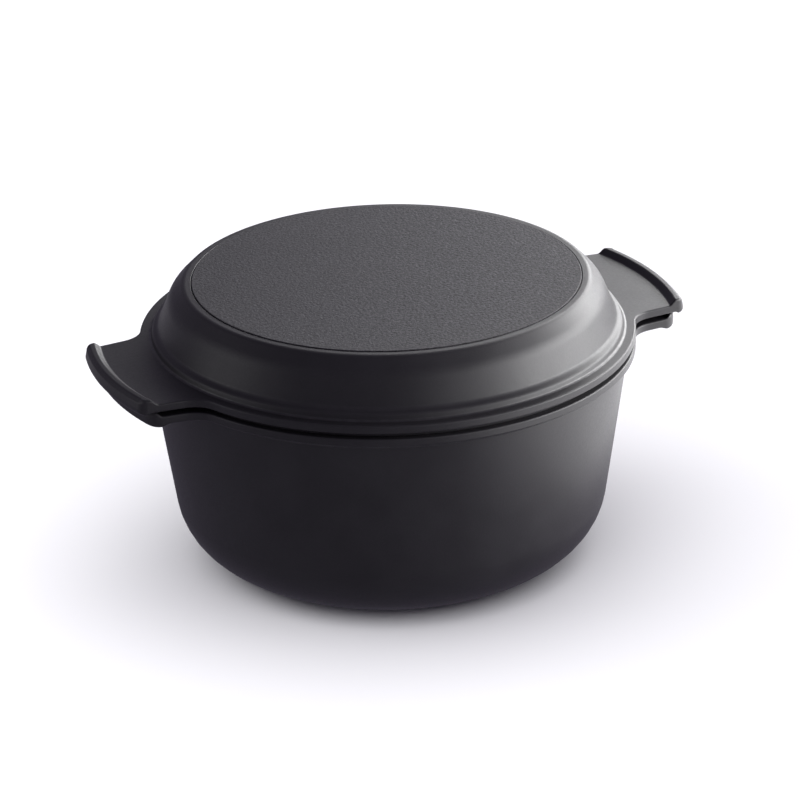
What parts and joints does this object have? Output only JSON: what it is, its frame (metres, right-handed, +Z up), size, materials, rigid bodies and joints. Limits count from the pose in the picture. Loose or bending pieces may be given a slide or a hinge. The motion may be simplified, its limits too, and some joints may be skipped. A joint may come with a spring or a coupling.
{
  "type": "dutch oven",
  "caption": "Round cast iron cooking pot with flat lug handles and a shallow pan-shaped lid with matching handles and a grained flat top that rests on its rim.",
  "frame": {"origin": "centre of the underside of the pot, on the surface that it stands on", "axes": "+Z up through the lid, +X along the line of the handles"},
  "size_m": [0.3418, 0.279, 0.1633],
  "materials": {
    "pot_casting": "satin black seasoned casting",
    "base_disc": "finely ground, dull grey",
    "lid_casting": "satin black seasoned casting",
    "lid_disc": "matt, with a fine leathery grain"
  },
  "bodies": {
    "pot": {"pot": "pot_casting", "pot_base_disc": "base_disc"},
    "lid": {"lid": "lid_casting", "lid_disc": "lid_disc"}
  },
  "joints": [
    {"name": "lid_lift", "type": "slide", "parent": "pot", "child": "lid", "axis": [0, 0, 1], "range_m": [0, 0.2]}
  ]
}
